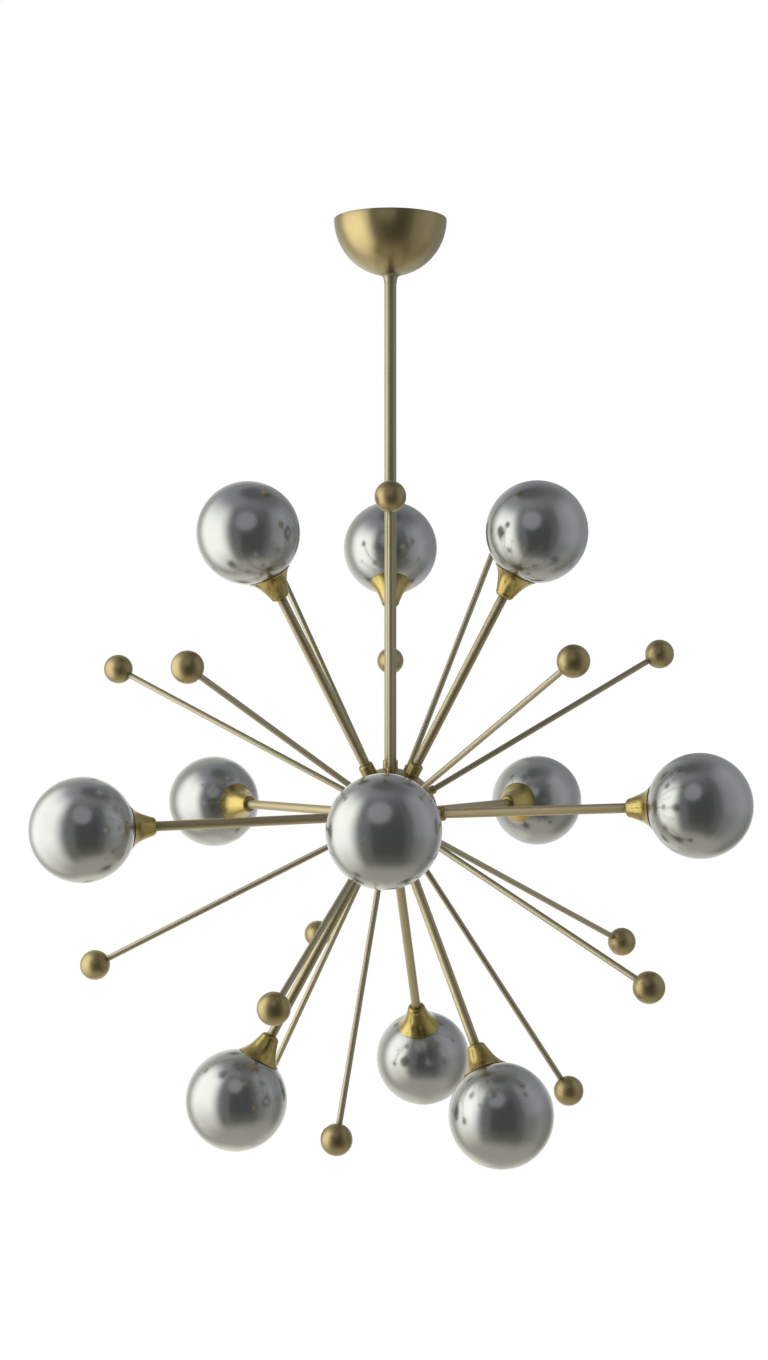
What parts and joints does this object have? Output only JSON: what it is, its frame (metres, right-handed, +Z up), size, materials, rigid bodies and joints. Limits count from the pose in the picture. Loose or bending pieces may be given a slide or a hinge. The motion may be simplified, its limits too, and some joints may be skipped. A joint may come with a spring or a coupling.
{
  "type": "sputnik chandelier",
  "caption": "Hanging chandelier with a brass hub ball, radiating tube arms with smoked glass globes in flared cups, thin rods tipped with balls, a rigid stem and a bowl canopy.",
  "frame": {"origin": "centre of the ceiling bracket, on the ceiling plane", "axes": "+Z up along the stem into the ceiling, +X to the right and -Y towards the viewer of the picture; the bracket's strap and slots run along X"},
  "size_m": [0.6819, 0.6942, 0.9269],
  "materials": {
    "antique_brass": "satin brushed, lacquered",
    "smoked_glass": "smoke-tinted with a thin mirror coat",
    "bulb_glass": "frosted capsule on a pale base",
    "socket_ceramic": "unglazed white ceramic",
    "ring_plastic": "moulded black",
    "terminal_plastic": "moulded off-white",
    "zinc_steel": "zinc plated",
    "dark_steel": "black oxide"
  },
  "bodies": {
    "root": {"arm_collars": "antique_brass", "arm_lower_back": "antique_brass", "arm_lower_left": "antique_brass", "arm_lower_right": "antique_brass", "arm_middle_back_left": "antique_brass", "arm_middle_back_right": "antique_brass", "arm_middle_front": "antique_brass", "arm_middle_left": "antique_brass", "arm_middle_right": "antique_brass", "arm_upper_back": "antique_brass", "arm_upper_left": "antique_brass", "arm_upper_right": "antique_brass", "balls_bottom": "antique_brass", "balls_lower": "antique_brass", "balls_top": "antique_brass", "balls_upper": "antique_brass", "bracket_nipple": "zinc_steel", "ceiling_bracket": "zinc_steel", "cup_lower_back": "antique_brass", "cup_lower_left": "antique_brass", "cup_lower_right": "antique_brass", "cup_middle_back_left": "antique_brass", "cup_middle_back_right": "antique_brass", "cup_middle_front": "antique_brass", "cup_middle_left": "antique_brass", "cup_middle_right": "antique_brass", "cup_upper_back": "antique_brass", "cup_upper_left": "antique_brass", "cup_upper_right": "antique_brass", "globe_rings": "ring_plastic", "hub_cap_nut": "antique_brass", "hub_lower_shell": "antique_brass", "hub_tie_rod": "zinc_steel", "hub_upper_shell": "antique_brass", "lamp_bulbs": "bulb_glass", "lamp_sockets": "socket_ceramic", "nipple_nuts": "zinc_steel", "rod_collars": "antique_brass", "rods_bottom": "antique_brass", "rods_lower": "antique_brass", "rods_top": "antique_brass", "rods_upper": "antique_brass", "stem_coupler": "antique_brass", "stem_foot": "antique_brass", "stem_tube": "antique_brass", "terminal_block": "terminal_plastic"},
    "canopy": {"canopy_shell": "antique_brass", "canopy_collar": "antique_brass", "collar_set_screw": "dark_steel"},
    "globe_upper_left": {"globe_upper_left": "smoked_glass"},
    "globe_upper_right": {"globe_upper_right": "smoked_glass"},
    "globe_upper_back": {"globe_upper_back": "smoked_glass"},
    "globe_middle_front": {"globe_middle_front": "smoked_glass"},
    "globe_middle_left": {"globe_middle_left": "smoked_glass"},
    "globe_middle_right": {"globe_middle_right": "smoked_glass"},
    "globe_middle_back_left": {"globe_middle_back_left": "smoked_glass"},
    "globe_middle_back_right": {"globe_middle_back_right": "smoked_glass"},
    "globe_lower_left": {"globe_lower_left": "smoked_glass"},
    "globe_lower_right": {"globe_lower_right": "smoked_glass"},
    "globe_lower_back": {"globe_lower_back": "smoked_glass"}
  },
  "joints": [
    {"name": "canopy_slide", "type": "slide", "parent": "root", "child": "canopy", "axis": [0, 0, -1], "range_m": [0, 0.12]},
    {"name": "globe_upper_left_off", "type": "slide", "parent": "root", "child": "globe_upper_left", "axis": [-0.4286, -0.2575, 0.866], "range_m": [0, 0.07]},
    {"name": "globe_upper_right_off", "type": "slide", "parent": "root", "child": "globe_upper_right", "axis": [0.4463, -0.1894, 0.8746], "range_m": [0, 0.07]},
    {"name": "globe_upper_back_off", "type": "slide", "parent": "root", "child": "globe_upper_back", "axis": [0, 0.5, 0.866], "range_m": [0, 0.07]},
    {"name": "globe_middle_front_off", "type": "slide", "parent": "root", "child": "globe_middle_front", "axis": [-0.0175, -0.9997, 0.0175], "range_m": [0, 0.07]},
    {"name": "globe_middle_left_off", "type": "slide", "parent": "root", "child": "globe_middle_left", "axis": [-0.9062, -0.4226, -0.0175], "range_m": [0, 0.07]},
    {"name": "globe_middle_right_off", "type": "slide", "parent": "root", "child": "globe_middle_right", "axis": [0.9123, -0.4062, 0.0523], "range_m": [0, 0.07]},
    {"name": "globe_middle_back_left_off", "type": "slide", "parent": "root", "child": "globe_middle_back_left", "axis": [-0.6157, 0.788, 0], "range_m": [0, 0.07]},
    {"name": "globe_middle_back_right_off", "type": "slide", "parent": "root", "child": "globe_middle_back_right", "axis": [0.515, 0.8572, 0], "range_m": [0, 0.07]},
    {"name": "globe_lower_left_off", "type": "slide", "parent": "root", "child": "globe_lower_left", "axis": [-0.4759, -0.0925, -0.8746], "range_m": [0, 0.07]},
    {"name": "globe_lower_right_off", "type": "slide", "parent": "root", "child": "globe_lower_right", "axis": [0.328, -0.3774, -0.866], "range_m": [0, 0.07]},
    {"name": "globe_lower_back_off", "type": "slide", "parent": "root", "child": "globe_lower_back", "axis": [0.1102, 0.5183, -0.848], "range_m": [0, 0.07]}
  ]
}
